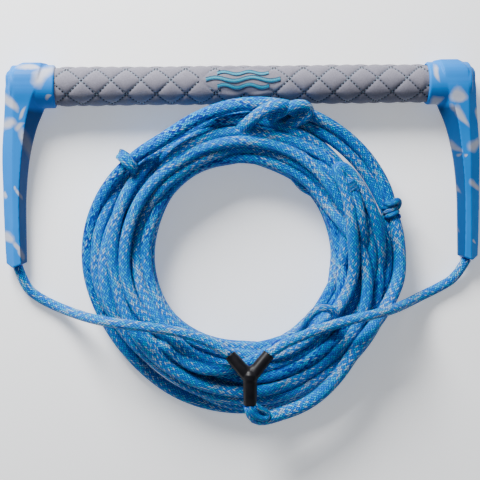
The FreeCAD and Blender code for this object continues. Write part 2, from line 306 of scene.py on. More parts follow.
def at_angle(degrees, radius, height):
    """A point round the coil."""
    turn = math.radians(degrees)
    return (COIL_CENTRE[0] + radius * math.cos(turn), COIL_CENTRE[1] + radius * math.sin(turn), height)


def smooth_rows(table, where, column, closed=False):
    """A smooth curve through one column of a table, over its first column. A closed one repeats
    every 360 degrees."""
    places = np.array([row[0] for row in table], float)
    values = np.array([row[column] for row in table], float)
    if closed:
        places = np.concatenate([places - 360, places, places + 360])
        values = np.tile(values, 3)
        where = np.mod(where, 360)
    slopes = np.gradient(values, places)
    index = np.clip(np.searchsorted(places, where) - 1, 0, len(places) - 2)
    width = places[index + 1] - places[index]
    t = (where - places[index]) / width
    a, b = values[index], values[index + 1]
    m, n = slopes[index] * width, slopes[index + 1] * width
    return (2 * t**3 - 3 * t**2 + 1) * a + (t**3 - 2 * t**2 + t) * m \
        + (3 * t**2 - 2 * t**3) * b + (t**3 - t**2) * n


def wandering(count, rng):
    """A share from 0 to 1 for each point, which wanders smoothly from turn to turn."""
    knots = int(count / STATIONS / WISH_TURNS) + 2
    wishes = (np.arange(knots) * WISH_STEP + rng.uniform(-WISH_SPREAD, WISH_SPREAD, knots)) % 1.0
    places = np.linspace(0, knots - 1, count)
    low = np.minimum(places.astype(int), knots - 2)
    share = places - low
    share = share * share * (3 - 2 * share)
    return wishes[low] * (1 - share) + wishes[low + 1] * share


def push_apart(radius, height):
    """Moves strands that lie in each other a little apart, in the sections that cross every turn."""
    count = len(radius)
    turns = math.ceil(count / STATIONS)
    far_off = np.full(turns * STATIONS - count, 10.0)
    r = np.concatenate([radius, far_off]).reshape(turns, STATIONS)
    z = np.concatenate([height, far_off]).reshape(turns, STATIONS)
    across, above = r[:, None] - r[None], z[:, None] - z[None]
    apart = np.sqrt(across**2 + above**2) + 1e-9
    push = np.clip(STRAND_GAP - apart, 0, None) * PUSH / apart
    for values, gap in ((radius, across), (height, above)):
        shift = (gap * push).sum(axis=1).reshape(-1)[:count]
        values += np.clip(shift, -MOST_PUSH, MOST_PUSH)


def settle_coil():
    """Angle, radius and height of points along the coiled line: turns laid one over another,
    then let down between the bundle's edges until no two of them lie in each other."""
    rng = np.random.default_rng(COIL_SEED)
    first, last = LOOSE_TURN[0][0], LINE_END[0] + 360 * TURNS
    count = int((last - first) / 360 * STATIONS) + 1
    angle = np.linspace(first, last, count)
    inner = smooth_rows(BUNDLE_EDGE, angle, 1, closed=True) + LINE_D / 2
    outer = smooth_rows(BUNDLE_EDGE, angle, 2, closed=True) - LINE_D / 2
    radius = inner + (outer - inner) * wandering(count, rng)
    height = LAID_LOW + LAID_RISE * np.linspace(1, 0, count)
    top = COIL_TOP - LINE_D / 2 - UNEVEN_TOP * wandering(count, rng) ** 1.5
    closing = np.clip((angle - (last - CLOSING_ANGLE)) / CLOSING_ANGLE, 0, 1) ** 2
    wish = radius * (1 - closing) + LINE_END[1] * closing

    guided = angle <= LOOSE_TURN[-1][0]
    free = ~guided
    guide_radius = smooth_rows(LOOSE_TURN, angle[guided], 1)
    guide_height = smooth_rows(LOOSE_TURN, angle[guided], 2)
    for round_number in range(SETTLE_ROUNDS):
        share = round_number / SETTLE_ROUNDS
        height -= SINK if share < SINK_SHARE else LATE_SINK
        height = height * (1 - END_LEAN * closing) + LINE_END[2] * END_LEAN * closing
        radius += LEAN * (wish - radius)
        for values in (radius, height):
            values[1:-1] += STRAIGHTEN * ((values[:-2] + values[2:]) / 2 - values[1:-1])
        for _ in range(PUSHES_PER_ROUND):
            push_apart(radius, height)
            radius[guided] = guide_radius
            height[guided] = guide_height
            radius[free] = np.clip(radius[free], inner[free], outer[free])
            off_middle = (radius - (inner + outer) / 2) / ((outer - inner) / 2)
            edge = np.clip(np.abs(off_middle), 0, 1) ** 3
            roof = top - TOP_ROUNDING * edge
            low = LOWEST + SOLE_ROUNDING * edge
            if share > OPEN_SHARE:
                height[free] = np.minimum(height[free], roof[free])
            height[free] = np.maximum(height[free], low[free])
    return angle, radius, height


def coil_points():
    """Control points of the coiled line, a little outside it, so that the curve passes through it."""
    angle, radius, height = settle_coil()
    keep = np.arange(0, len(angle), STATIONS // POINTS_PER_TURN)[POINTS_IN_LEAD:]
    swell = 1 / math.cos(math.pi / POINTS_PER_TURN)
    return [at_angle(angle[i], radius[i] * swell, height[i]) for i in keep]


# --- meshes ---

def link(name, data):
    """A new object in the scene."""
    obj = bpy.data.objects.new(name, data)
    bpy.context.collection.objects.link(obj)
    return obj


def mesh_object(name, verts, faces):
    """An object from points and faces, with its faces turned outward."""
    mesh = bpy.data.meshes.new(name)
    mesh.from_pydata([tuple(v) for v in verts], [], [tuple(f) for f in faces])
    net = bmesh.new()
    net.from_mesh(mesh)
    bmesh.ops.recalc_face_normals(net, faces=net.faces)
    net.to_mesh(mesh)
    net.free()
    return link(name, mesh)


def baked(obj):
    """The object with its modifiers made permanent."""
    bpy.context.view_layer.update()
    graph = bpy.context.evaluated_depsgraph_get()
    mesh = bpy.data.meshes.new_from_object(obj.evaluated_get(graph))
    obj.modifiers.clear()
    obj.data = mesh
    return obj


def cut(obj, tool):
    """Takes the tool's shape out of the object, and removes the tool."""
    modifier = obj.modifiers.new("cut", "BOOLEAN")
    modifier.operation = "DIFFERENCE"
    modifier.solver = "EXACT"
    modifier.object = tool
    baked(obj)
    bpy.data.objects.remove(tool)
    return obj


def fused(obj, others, voxel, rounds):
    """One closed skin round several objects that overlap, smoothed a number of rounds."""
    with bpy.context.temp_override(active_object=obj, selected_editable_objects=[obj, *others]):
        bpy.ops.object.join()
    remesh = obj.modifiers.new("remesh", "REMESH")
    remesh.mode = "VOXEL"
    remesh.voxel_size = voxel
    soften = obj.modifiers.new("soften", "SMOOTH")
    soften.iterations = rounds
    return baked(obj)


def dress(obj, material):
    """Gives an object one material and smooth shading."""
    obj.data.materials.clear()
    obj.data.materials.append(material)
    obj.data.shade_smooth()


def points_of(obj, attribute="co"):
    """Places (or normals) of the object's points, one row for each."""
    values = np.zeros(len(obj.data.vertices) * 3)
    obj.data.vertices.foreach_get(attribute, values)
    return values.reshape(-1, 3)


def store(obj, name, values):
    """Keeps one number for each of the object's points."""
    attribute = obj.data.attributes.new(name, "FLOAT", "POINT")
    attribute.data.foreach_set("value", np.asarray(values, np.float32))


def tube_quads(rings, sides):
    """The four-sided faces between rings of points that follow one another."""
    ring, corner = np.meshgrid(np.arange(rings - 1), np.arange(sides), indexing="ij")
    here, beyond, after = ring * sides, (ring + 1) * sides, (corner + 1) % sides
    return np.stack([here + corner, here + after, beyond + after, beyond + corner], -1).reshape(-1, 4)


def closed_tube(rings, sides):
    """The same faces, and one at each end."""
    ends = [list(reversed(range(sides))), list(range((rings - 1) * sides, rings * sides))]
    return tube_quads(rings, sides).tolist() + ends


def lathe(name, profile, sides, origin, axis):
    """A closed turned shape. The profile has (along, radius) points, from one end to the other."""
    turn = np.linspace(0, 2 * math.pi, sides, endpoint=False)
    basis = Vector(axis).to_track_quat("Z", "Y").to_matrix()
    verts = [Vector(origin) + basis @ Vector((radius * math.cos(t), radius * math.sin(t), along))
             for along, radius in profile for t in turn]
    return mesh_object(name, verts, closed_tube(len(profile), sides))


# --- ropes ---

def cord_curve(name, points):
    """A NURBS curve with the given control points."""
    data = bpy.data.curves.new(name, "CURVE")
    data.dimensions = "3D"
    spline = data.splines.new("NURBS")
    spline.points.add(len(points) - 1)
    for target, point in zip(spline.points, points):
        target.co = (*point, 1.0)
    spline.order_u = 3
    spline.use_endpoint_u = True
    spline.resolution_u = 8
    return link(name, data)


def along_route(name, points, step):
    """Points at equal steps along the curve of some control points, and how far along each one is."""
    curve = cord_curve(name + "_route", points)
    bpy.context.view_layer.update()
    mesh = bpy.data.meshes.new_from_object(curve)
    path = np.array([v.co for v in mesh.vertices], float)
    bpy.data.meshes.remove(mesh)
    bpy.data.objects.remove(curve)
    gaps = np.linalg.norm(np.diff(path, axis=0), axis=1)
    distance = np.concatenate([[0], np.cumsum(gaps)])
    count = max(int(round(distance[-1] / step)), 2)
    along = np.linspace(0, distance[-1], count + 1)
    return np.stack([np.interp(along, distance, path[:, i]) for i in range(3)], axis=1), along


def rope_rings(path, width, thickness, sides, swell):
    """Rings of points round a path: ovals that keep their wide side level."""
    ahead = np.gradient(path, axis=0)
    ahead /= np.linalg.norm(ahead, axis=1)[:, None]
    side = np.cross(ahead, [0, 0, 1.0])
    side /= np.linalg.norm(side, axis=1)[:, None]
    up = np.cross(side, ahead)
    turn = np.linspace(0, 2 * math.pi, sides, endpoint=False)
    oval = side[:, None] * np.cos(turn)[None, :, None] * width / 2 \
        + up[:, None] * np.sin(turn)[None, :, None] * thickness / 2
    return path[:, None] + oval * swell[:, None, None]


def lay_uv(mesh, along, sides):
    """Where the rope's pattern lies: metres along the rope, and the share of the way round it."""
    ring, corner = np.meshgrid(np.arange(len(along) - 1), np.arange(sides), indexing="ij")
    u = np.stack([along[ring], along[ring], along[ring + 1], along[ring + 1]], -1).reshape(-1)
    v = np.stack([corner, corner + 1, corner + 1, corner], -1).reshape(-1) / sides
    layer = mesh.uv_layers.new(name="rope")
    places = np.zeros((len(layer.data), 2))
    places[:len(u)] = np.stack([u, v], -1)
    layer.data.foreach_set("uv", places.reshape(-1))


def rope_piece(name, path, along, size, sides, material, slot, swell=1.0):
    """A flattened tube of rope along a path, closed at both ends. Its size is width and thickness."""
    count = len(path)
    rings = rope_rings(path, *size, sides, np.broadcast_to(swell, count))
    verts = np.concatenate([rings.reshape(-1, 3), path[:1], path[-1:]])
    start, end, last_ring = count * sides, count * sides + 1, (count - 1) * sides
    caps = [[start, (s + 1) % sides, s] for s in range(sides)]
    caps += [[end, last_ring + s, last_ring + (s + 1) % sides] for s in range(sides)]
    mesh = bpy.data.meshes.new(name)
    mesh.from_pydata(verts.tolist(), [], tube_quads(count, sides).tolist() + caps)
    lay_uv(mesh, along, sides)
    rope = link(name, mesh)
    dress(rope, material)
    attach(rope, "arms_and_ropes")
    return rope


# --- camera, light and floor ---

def make_camera():
    """Almost straight above the object, a touch to its left, turned clockwise by a degree."""
    data = bpy.data.cameras.new("camera")
    data.lens = 84.4
    camera = link("camera", data)
    middle = Matrix.Translation((-0.0036, -0.0612, 0.014))
    lean = Matrix.Rotation(math.radians(-2.85), 4, "Y")
    roll = Matrix.Rotation(math.radians(-0.92), 4, "Z")
    camera.matrix_world = middle @ lean @ roll @ Matrix.Translation((0, 0, 0.9))
    bpy.context.scene.camera = camera


def make_lights():
    """A broad soft light from beyond the grip, and dim bluish surroundings."""
    world = bpy.data.worlds.new("world")
    bpy.context.scene.world = world
    world.use_nodes = True
    background = world.node_tree.nodes["Background"]
    background.inputs["Color"].default_value = (0.80, 0.88, 1, 1)
    background.inputs["Strength"].default_value = 0.28
    data = bpy.data.lights.new("key", "AREA")
    data.energy = 40.0
    data.size = 0.50
    light = link("key", data)
    light.location = (-0.45, 0.85, 0.62)
    direction = Vector((0, -0.06, 0)) - light.location
    light.rotation_euler = direction.to_track_quat("-Z", "Y").to_euler()


def make_floor():
    """The pale ground that everything lies on, lit a little from within."""
    data = bpy.data.meshes.new("floor")
    data.from_pydata([(-3, -3, 0), (3, -3, 0), (3, 3, 0), (-3, 3, 0)], [], [(0, 1, 2, 3)])
    shader = Shader("floor", roughness=0.9)
    shader.bsdf.inputs["Emission Color"].default_value = (1, 1, 1, 1)
    shader.bsdf.inputs["Emission Strength"].default_value = 0.35
    data.materials.append(shader.finish((0.95, 0.95, 0.95, 1)))
    link("floor", data)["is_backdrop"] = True


# --- materials ---

class Shader:
    """Builds a node material: each call adds one node and gives back its first output."""

    def __init__(self, name, roughness=0.5, specular=0.5):
        self.material = bpy.data.materials.new(name)
        self.material.use_nodes = True
        self.tree = self.material.node_tree
        self.bsdf = self.tree.nodes["Principled BSDF"]
        self.bsdf.inputs["Roughness"].default_value = roughness
        self.bsdf.inputs["Specular IOR Level"].default_value = specular

    def put(self, socket, value):
        if isinstance(value, bpy.types.NodeSocket):
            self.tree.links.new(value, socket)
        else:
            socket.default_value = value

    def node(self, kind, inputs=(), output=0, **settings):
        made = self.tree.nodes.new("ShaderNode" + kind)
        for name, value in settings.items():
            setattr(made, name, value)
        for key, value in dict(inputs).items():
            self.put(made.inputs[key], value)
        return made.outputs[output]

    def math(self, operation, first, second=0.0):
        return self.node("Math", {0: first, 1: second}, operation=operation)

    def plus(self, first, second):
        return self.math("ADD", first, second)

    def times(self, first, second):
        return self.math("MULTIPLY", first, second)

    def place(self, scale=(1, 1, 1)):
        where = self.node("TexCoord", output="Object")
        return self.node("Mapping", {"Vector": where, "Scale": scale})

    def noise(self, where, scale, detail=2.0, roughness=0.5):
        return self.node("TexNoise", {"Vector": where, "Scale": scale, "Detail": detail,
                                      "Roughness": roughness})

    def ramp(self, value, *stops):
        made = self.tree.nodes.new("ShaderNodeValToRGB")
        self.tree.links.new(value, made.inputs[0])
        while len(made.color_ramp.elements) < len(stops):
            made.color_ramp.elements.new(0.5)
        for element, (position, color) in zip(made.color_ramp.elements, stops):
            element.position = position
            element.color = (*color, 1)
        return made.outputs[0]

    def mix(self, share, first, second):
        made = self.tree.nodes.new("ShaderNodeMix")
        made.data_type = "RGBA"
        self.put(made.inputs[0], share)
        for socket, value in ((made.inputs[6], first), (made.inputs[7], second)):
            self.put(socket, (*value, 1) if isinstance(value, tuple) else value)
        return made.outputs[2]

    def bump(self, height, distance, strength=1.0):
        normal = self.node("Bump", {"Height": height, "Distance": distance, "Strength": strength})
        self.put(self.bsdf.inputs["Normal"], normal)

    def finish(self, color, roughness=None):
        self.put(self.bsdf.inputs["Base Color"], color)
        if roughness is not None:
            self.put(self.bsdf.inputs["Roughness"], roughness)
        return self.material


def yarn_color(shader, carrier, seed, silver, lean):
    """Colour of each yarn of one set: silver for a share of them, then cyan, blue and dark blue."""
    chance = shader.node("TexWhiteNoise", {"W": shader.plus(carrier, seed)},
                         noise_dimensions="1D")
    pick = shader.plus(shader.times(chance, 0.8), shader.plus(lean, 0.1))
    return shader.ramp(pick, (0.0, ROPE_SILVER), (silver, ROPE_SILVER), (silver + 0.06, ROPE_CYAN),
                       (silver + 0.26, ROPE_CYAN), (silver + 0.32, ROPE_BLUE), (0.84, ROPE_BLUE),
                       (0.92, ROPE_DARK_BLUE_AND_SHADE))


def rope_material(name, yarns, pitch, silver):
    """Hollow braid: two sets of yarns that pass over two and under two, in blue, cyan and silver, with shade
    painted dark blue towards each yarn's edges.
    """
    shader = Shader(name, roughness=0.45, specular=0.14)
    split = shader.tree.nodes.new("ShaderNodeSeparateXYZ")
    shader.put(split.inputs[0], shader.node("UVMap", uv_map="rope"))
    along, around = split.outputs[0], split.outputs[1]
    lay = shader.math("DIVIDE", along, pitch)
    round_yarns = shader.times(around, yarns)
    course = {
        "right": shader.plus(round_yarns, lay),
        "left": shader.math("SUBTRACT", round_yarns, lay),
    }
    whole = {key: shader.math("FLOOR", value) for key, value in course.items()}
    part = {key: shader.math("FRACT", value) for key, value in course.items()}
    cell = shader.plus(whole["right"], whole["left"])
    left_on_top = shader.math("GREATER_THAN", shader.math("FLOORED_MODULO", cell, 4.0), 1.5)
    second_half = shader.math("FLOORED_MODULO", cell, 2.0)

    drift = shader.noise(shader.node("CombineXYZ", {0: shader.times(along, 3.1)}), 1.0)
    lean = shader.times(shader.math("SUBTRACT", drift, 0.5), 0.75)
    color, height = {}, {}
    for key, other, seed, share in (("right", "left", 3.1, silver), ("left", "right", 8.7, silver * 0.7)):
        carrier = shader.math("FLOORED_MODULO", whole[key], yarns)
        color[key] = yarn_color(shader, carrier, seed, share, lean)
        crown = shader.math("SINE", shader.times(part[key], math.pi))
        run = shader.times(shader.plus(part[other], second_half), math.pi / 2)
        rise = shader.math("POWER", shader.math("MAXIMUM", shader.math("SINE", run), 0.0), 0.4)
        height[key] = shader.times(crown, rise)
    yarn = shader.mix(left_on_top, color["right"], color["left"])
    relief = shader.node("Mix", {0: left_on_top, 2: height["right"], 3: height["left"]})
    # painted shade: dark blue towards the yarns' edges and where they dive under, full yarn colour on their
    # crowns
    shade = shader.math("POWER", shader.math("MAXIMUM", relief, 0.0), 1.3)
    shader.bump(relief, 0.0006)
    return shader.finish(shader.mix(shade, ROPE_DARK_BLUE_AND_SHADE, yarn))


def arm_material(name, seed):
    """Moulded elastomer, sky blue marbled with pale grey, with shade painted dark blue on the inward faces
    below the collar.
    """
    shader = Shader(name, roughness=0.42, specular=0.1)
    where = shader.place()
    streak = shader.node("Attribute", output="Fac", attribute_name="marble")
    swirl = shader.math("SUBTRACT", shader.noise(where, 95.0, detail=3.0), 0.5)
    edge = shader.plus(streak, shader.times(swirl, 0.8))
    pale = shader.ramp(edge, (0.28, (0, 0, 0)), (0.85, (0.92, 0.92, 0.92)))
    shifted = shader.node("Mapping", {"Vector": where, "Location": (seed, 0, 0)})
    cloud = shader.noise(shifted, 22.0, detail=3.0)
    blue = shader.ramp(cloud, (0.3, (0.0, 0.16, 0.55)), (0.7, (0.0, 0.21, 0.67)))
    # painted shade: the inward faces below the collar are mixed towards dark blue
    inner = shader.node("Attribute", output="Fac", attribute_name="inner")
    marbled = shader.mix(pale, blue, ARM_PALE)
    shader.bump(shader.noise(where, 1800.0), 0.00008, 0.5)
    rough = shader.plus(shader.times(cloud, 0.12), 0.36)
    return shader.finish(shader.mix(shader.times(inner, 0.75), marbled, ARM_INNER_SHADE), rough)


def suede_material():
    """Grey synthetic suede: a fine nap, with painted shade, darker and bluer, in the stitched valleys."""
    shader = Shader("grip_suede", roughness=0.85, specular=0.25)
    where = shader.place()
    nap = shader.noise(where, 900.0, detail=4.0, roughness=0.7)
    blotch = shader.noise(where, 60.0, detail=3.0)
    base = shader.ramp(nap, (0.25, (0.130, 0.124, 0.154)), (0.75, (0.222, 0.209, 0.250)))
    worn = shader.mix(shader.times(blotch, 0.35), base, (0.20, 0.205, 0.26))
    # painted shade in the stitched valleys: mixed towards a dark blue-grey
    painted_valley_shade = shader.node("Attribute", output="Fac", attribute_name="painted_valley_shade")
    color = shader.mix(shader.times(painted_valley_shade, 0.75), worn, (0.05, 0.075, 0.13))
    shader.bump(nap, 0.0003, 0.8)
    shader.bsdf.inputs["Sheen Weight"].default_value = 0.25
    shader.bsdf.inputs["Sheen Roughness"].default_value = 0.5
    return shader.finish(color)


def thread_material(name, dark, light):
    """Twisted sewing thread."""
    shader = Shader(name, roughness=0.4, specular=0.5)
    twist = shader.noise(shader.place((1, 1.6, 1)), 2600.0)
    shader.bump(twist, 0.0001, 0.6)
    return shader.finish(shader.ramp(twist, (0.35, dark), (0.65, light)))


def rubber_material():
    """Smooth black moulded rubber with faint bloom and dust."""
    shader = Shader("yoke_rubber", roughness=0.3, specular=0.2)
    where = shader.place()
    bloom = shader.noise(where, 130.0, detail=4.0)
    color = shader.ramp(bloom, (0.3, (0.003, 0.003, 0.0045)), (0.75, (0.009, 0.008, 0.010)))
    shader.bump(shader.noise(where, 2500.0), 0.00006, 0.4)
    return shader.finish(color, shader.plus(shader.times(bloom, 0.2), 0.32))


def metal_material():
    """Drawn aluminium tube, with fine lines along it."""
    shader = Shader("tube_metal", roughness=0.3)
    shader.bsdf.inputs["Metallic"].default_value = 1.0
    lines = shader.noise(shader.place((0.02, 1, 1)), 2400.0, detail=3.0)
    shader.bump(lines, 0.00005, 0.4)
    return shader.finish(shader.ramp(lines, (0.3, (0.50, 0.51, 0.53)), (0.7, (0.72, 0.73, 0.75))))


def foam_material():
    """Closed-cell foam."""
    shader = Shader("grip_foam", roughness=0.9, specular=0.2)
    cells = shader.node("TexVoronoi", {"Vector": shader.place(), "Scale": 900.0})
    shader.bump(cells, 0.0003, 0.8)
    return shader.finish(shader.ramp(cells, (0.1, (0.02, 0.02, 0.022)), (0.6, (0.06, 0.06, 0.065))))


def nylon_material():
    """Moulded black nylon of the end bushes."""
    shader = Shader("bush_nylon", roughness=0.45)
    where = shader.place()
    flow = shader.noise(where, 160.0, detail=3.0)
    shader.bump(shader.noise(where, 3000.0), 0.00005, 0.5)
    return shader.finish(shader.ramp(flow, (0.3, (0.012, 0.012, 0.014)), (0.7, (0.03, 0.03, 0.034))))


def core_material():
    """Braided rope seen without a lay of its own: crossing diagonal yarns, with painted shade in the weave's
    hollows.
    """
    shader = Shader("rope_core", roughness=0.5)
    where = shader.place()
    waves = [shader.node("TexWave", {"Vector": shader.node("Mapping", {"Vector": where, "Rotation": turn}),
                                     "Scale": 110.0, "Distortion": 1.0})
             for turn in ((0.3, 0.2, 0.9), (0.3, 0.2, -0.9))]
    weave = shader.times(waves[0], waves[1])
    shader.bump(weave, 0.0005)
    # the colour follows the weave's height: painted shade in its hollows, the rope's blue and then silver
    # towards its crowns
    return shader.finish(shader.ramp(weave, (0.1, ROPE_DARK_BLUE_AND_SHADE), (0.4, ROPE_BLUE), (0.9, ROPE_SILVER)))


# --- arms ---

def arm_row(below):
    """The horn's eight-sided section at one distance below the bar axis."""
    outer, outer_ridge, inner_ridge, inner, half = (
        float(smooth_rows(ARM_STATIONS, np.array([below]), column)[0]) for column in range(1, 6))
    centre = BAR_Z if below < 0 else half - SOLE_CUT
    rim = max(half - OUTER_BEVEL, LEAST_RIM)
    upper = [(outer, rim), (outer_ridge, half), (inner_ridge, half), (inner, INNER_RIM)]
    section = upper + [(inset, -z) for inset, z in reversed(upper)]
    return [(OUTER_FACE - inset, BAR_Y - below, centre + z) for inset, z in section]


def horn():
    """The right arm without its collar."""
    head = np.linspace(ARM_STATIONS[0][0], HEAD_END, 14)
    rows = [arm_row(below) for below in (*head, *np.linspace(HEAD_END, ARM_STATIONS[-1][0], 40)[1:])]
    verts = [point for row in rows for point in row]
    return mesh_object("arm_right_look", verts, closed_tube(len(rows), len(rows[0])))


def collar():
    """The right arm's round collar, with a rounded rim towards the grip."""
    rim = [(COLLAR_END + COLLAR_ROUNDING * (1 - math.cos(t)), COLLAR_R - COLLAR_ROUNDING * (1 - math.sin(t)))
           for t in np.linspace(0, math.pi / 2, 5)]
    back = [(COLLAR_OUTER - 0.001, COLLAR_R), (COLLAR_OUTER, COLLAR_R - 0.001)]
    return lathe("collar", [(COLLAR_END, 0.012)] + rim + back, 96, (0, BAR_Y, BAR_Z), (1, 0, 0))


def arm_end_tool():
    """What is cut away below the arm's slanted end face."""
    outline = END_CUT + [(END_CUT[-1][0], -0.11), (END_CUT[0][0], -0.11)]
    verts = [(x, y, z) for z in (-0.01, 0.05) for x, y in outline]
    return mesh_object("arm_end_tool", verts, closed_tube(2, len(outline)))


def marble(obj, patches, seed):
    """How pale the moulding is at each point: patches on top, and swirls on the sides below."""
    co = points_of(obj)
    value = np.zeros(len(co))
    for *sizes, turn in patches:
        x, y, length, width = (size / 1000 for size in sizes)
        angle = math.radians(turn)
        dx, dy = co[:, 0] - x, co[:, 1] - y
        along = (dx * math.cos(angle) + dy * math.sin(angle)) / (length * 1.15)
        across = (dy * math.cos(angle) - dx * math.sin(angle)) / width
        taper = np.clip(1.0 - 0.25 * along, 0.5, 1.4)
        bend = 0.35 * np.sin(2.1 * along + seed + 40 * x)
        distance = np.sqrt(np.abs(along)**2.4 + np.abs((across + bend) / taper)**1.8)
        value = np.maximum(value, np.clip((1.8 - distance) / 1.4, 0, 1))
    waves = np.sin(190 * co[:, 1] + 6 * np.sin(95 * co[:, 2] + seed)) \
        * np.sin(70 * co[:, 1] + 160 * co[:, 0] + seed)
    below = np.clip((0.012 - co[:, 2]) / 0.004, 0, 1)
    value = np.maximum(value * (1 - below), np.clip(waves * 2.2 - 1.0, 0, 1) * below)
    store(obj, "marble", value)


def paint_inner_shade(obj, towards):
    """Marks the faces below the collar that look inward, where shade is painted into the moulding's blue."""
    facing = np.clip((points_of(obj, "normal")[:, 0] * towards - 0.55) / 0.15, 0, 1)
    below = np.clip((BAR_Y - COLLAR_R - points_of(obj)[:, 1]) / 0.004, 0, 1)
    store(obj, "inner", facing * below)


def make_arms():
    """Both arms: horn and collar in one moulding, with the bar's bore and the rope's hole."""
    right = fused(cut(horn(), arm_end_tool()), [collar()], ARM_VOXEL, 2)
    bore = [(COLLAR_END - 0.004, BORE_R), (BORE_END, BORE_R)]
    cut(right, lathe("bore", bore, 96, (0, BAR_Y, BAR_Z), (1, 0, 0)))
    hole = [(-0.012, ROPE_HOLE_R), (0.014, ROPE_HOLE_R), (0.0155, 0.001)]
    cut(right, lathe("hole", hole, 40, LEG_RIGHT[0], (0, 1, 0)))
    left = link("arm_left_look", right.data.copy())
    left.data.transform(Matrix.Scale(-1, 4, (1, 0, 0)))
    left.data.flip_normals()
    for arm, node, seed, inward in ((right, "arm_right", 1.3, -1), (left, "arm_left", 4.1, 1)):
        marble(arm, PATCHES[node], seed)
        # the inward faces get painted shade
        paint_inner_shade(arm, inward)
        dress(arm, arm_material(node + "_moulding", seed))
        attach(arm, "arms_and_ropes")
        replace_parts(arm, node)


# --- grip ---

def quilt_lines(x, turn):
    """How far a point of the cover is from the stitch lines, as a share of half a diamond."""
    a = (x - QUILT_START) / QUILT_LENGTH
    b = (turn - QUILT_ROW) / QUILT_TURN
    first = np.abs((a + b + 0.5) % 1.0 - 0.5) * 2
    second = np.abs((a - b + 0.5) % 1.0 - 0.5) * 2
    return np.minimum(first, second), np.maximum(first, second)


def emblem_share(x, turn):
    """1 inside the plain field of the emblem, 0 outside it."""
    dx = (x - EMBLEM_MIDDLE[0]) / EMBLEM_REACH[0]
    dt = (turn - EMBLEM_MIDDLE[1]) / EMBLEM_REACH[1]
    return np.clip((1.0 - (np.abs(dx) ** 1.6 + np.abs(dt) ** 1.6)) * 3 + 0.5, 0, 1)


def cover_radius(x, turn):
    """Radius of the padded cover, and how far down into the stitched valleys each point lies, which sets the
    shade painted there.
    """
    near, far = quilt_lines(x, turn)
    puff = np.sqrt(np.clip(near * (2 - near), 0, 1)) * np.sqrt(np.clip(far * (2 - far), 0, 1)) ** 0.5
    field = emblem_share(x, turn)
    # strength of the painted shade, highest on the stitch lines, none in the emblem's plain field
    painted_valley_shade = np.clip(1 - near / 0.11, 0, 1) * (1 - field)
    puff = puff * (1 - field) + PLAIN_PUFF * field
    inside = np.clip((np.abs(x) - (COLLAR_END - 0.0045)) / 0.004, 0, 1)
    top = PUFF_TOP * (1 - inside) + PUFF_TOP_IN_COLLAR * inside
    seam = np.clip(1 - np.abs(np.abs(turn) - 180) / 10, 0, 1)
    sag = 0.0002 * np.sin(x * 61 + np.radians(turn) * 2) * (1 - inside)
    radius = PUFF_LOW + (top - PUFF_LOW) * puff * (1 - 0.5 * seam) + sag * puff
    return radius, painted_valley_shade


def make_cover():
    """Quilted cover: puffed diamonds between stitched valleys, turned in at both ends."""
    columns, rows = COVER_GRID
    x = np.pad(np.linspace(-BAR_HALF, BAR_HALF, columns), 1, "edge")
    grid_x, grid_turn = np.meshgrid(x, np.linspace(-180, 180, rows, endpoint=False), indexing="ij")
    radius, painted_valley_shade = cover_radius(grid_x, grid_turn)
    for end in (0, -1):
        radius[end] = COVER_INSIDE
        painted_valley_shade[end] = 0
    angle = np.radians(grid_turn)
    points = np.stack([grid_x, BAR_Y + radius * np.sin(angle), BAR_Z + radius * np.cos(angle)], -1)
    cover = mesh_object("quilted_cover", points.reshape(-1, 3).tolist(), tube_quads(len(x), rows).tolist())
    # stored for the painted shade in the suede's colour
    store(cover, "painted_valley_shade", painted_valley_shade.reshape(-1))
    dress(cover, suede_material())
    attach(cover, "grip_bar")
    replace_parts(cover, "grip_cover")


def stitch_places(slope):
    """Middle of every stitch, as X and degrees from the top, and its heading on the cover."""
    places = []
    run = math.hypot(QUILT_LENGTH, math.radians(QUILT_TURN) * GRIP_R)
    per_diamond = int(round(run / STITCH_PITCH))
    for direction in (1, -1):
        for line in range(-STITCH_LINES, STITCH_LINES + 1):
            for step in range(-4 * per_diamond, 4 * per_diamond):
                share = (step + 0.5) / per_diamond
                turn = QUILT_ROW + direction * share * QUILT_TURN
                x = QUILT_START + (line - share) * QUILT_LENGTH
                on_cover = abs(turn) <= STITCHED_TURN and abs(x) <= BAR_HALF - 0.003
                if on_cover and emblem_share(x, turn) <= 0.4:
                    places.append((x, turn, -direction * slope))
    return places


def capsule(length, radius):
    """A short thread lying along X, rounded at its ends, as points and faces."""
    sides, rings = 6, 5
    verts = []
    for i in range(rings):
        t = i / (rings - 1) * 2 - 1
        fat = radius * math.sqrt(max(1 - abs(t) ** 2.5, 0.02))
        verts += [(t * length / 2, fat * math.cos(turn), fat * math.sin(turn))
                  for turn in (2 * math.pi * s / sides for s in range(sides))]
    return np.array(verts), closed_tube(rings, sides)


def threads_on_cover(name, places, size, material):
    """One piece of short threads, each lying on the cover along its own heading."""
    length, thick, lift = size
    shape, shape_faces = capsule(length, thick / 2)
    verts, faces = [], []
    for x, turn, heading in places:
        radius = cover_radius(np.array(x), np.array(turn))[0] + lift
        angle = math.radians(turn)
        out = np.array((0, math.sin(angle), math.cos(angle)))
        across = np.array((0, math.cos(angle), -math.sin(angle)))
        ahead = math.cos(heading) * np.array((1.0, 0, 0)) + math.sin(heading) * across
        side = np.cross(out, ahead)
        middle = np.array((x, BAR_Y, BAR_Z)) + out * float(radius)
        base = len(verts)
        verts += list(middle + shape[:, :1] * ahead + shape[:, 1:2] * side + shape[:, 2:3] * out)
        faces += [tuple(base + v for v in face) for face in shape_faces]
    threads = mesh_object(name, verts, faces)
    dress(threads, material)
    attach(threads, "grip_bar")
    return threads


